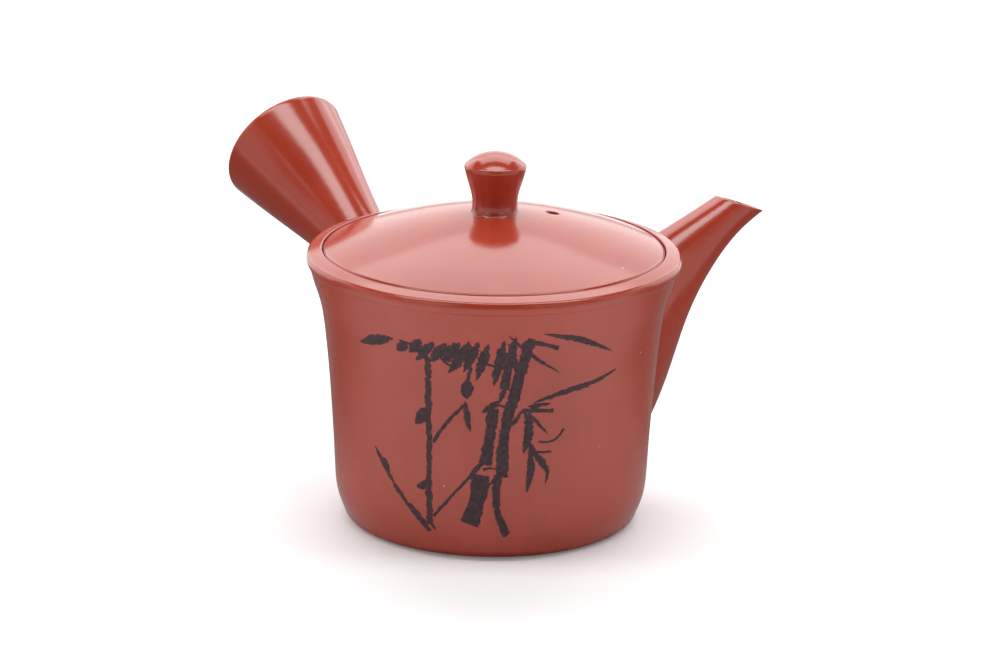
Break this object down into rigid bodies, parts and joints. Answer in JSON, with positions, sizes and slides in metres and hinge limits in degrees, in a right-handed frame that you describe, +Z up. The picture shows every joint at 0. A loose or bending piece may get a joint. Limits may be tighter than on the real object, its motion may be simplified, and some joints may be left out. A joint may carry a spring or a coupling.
{
  "type": "teapot",
  "caption": "Side-handled red clay teapot with a flared hollow handle, a raised spout, an inset domed lid with a turned knob, and a carved bamboo drawing on the wall.",
  "frame": {"origin": "centre of the flat base, on the surface the pot stands on", "axes": "+Z up along the pot's axis, +X towards the spout, +Y towards the handle"},
  "size_m": [0.1393, 0.1623, 0.1005],
  "materials": {
    "red_clay": "burnished unglazed red clay, satin",
    "raw_clay": "unburnished red clay, matt",
    "clay_slip": "smoothed red slip, satin",
    "dark_fill": "dark pigment fired into the carving, matt"
  },
  "bodies": {
    "pot": {"pot_body": "red_clay", "spout": "red_clay", "spout_slip": "clay_slip", "handle": "red_clay", "handle_slip": "clay_slip", "strainer": "raw_clay", "carving_fill": "dark_fill"},
    "lid_set": {"lid": "red_clay", "knob": "red_clay", "knob_slip": "clay_slip"}
  },
  "joints": [
    {"name": "lid_lift", "type": "slide", "parent": "pot", "child": "lid_set", "axis": [0, 0, 1], "range_m": [0, 0.06]}
  ]
}
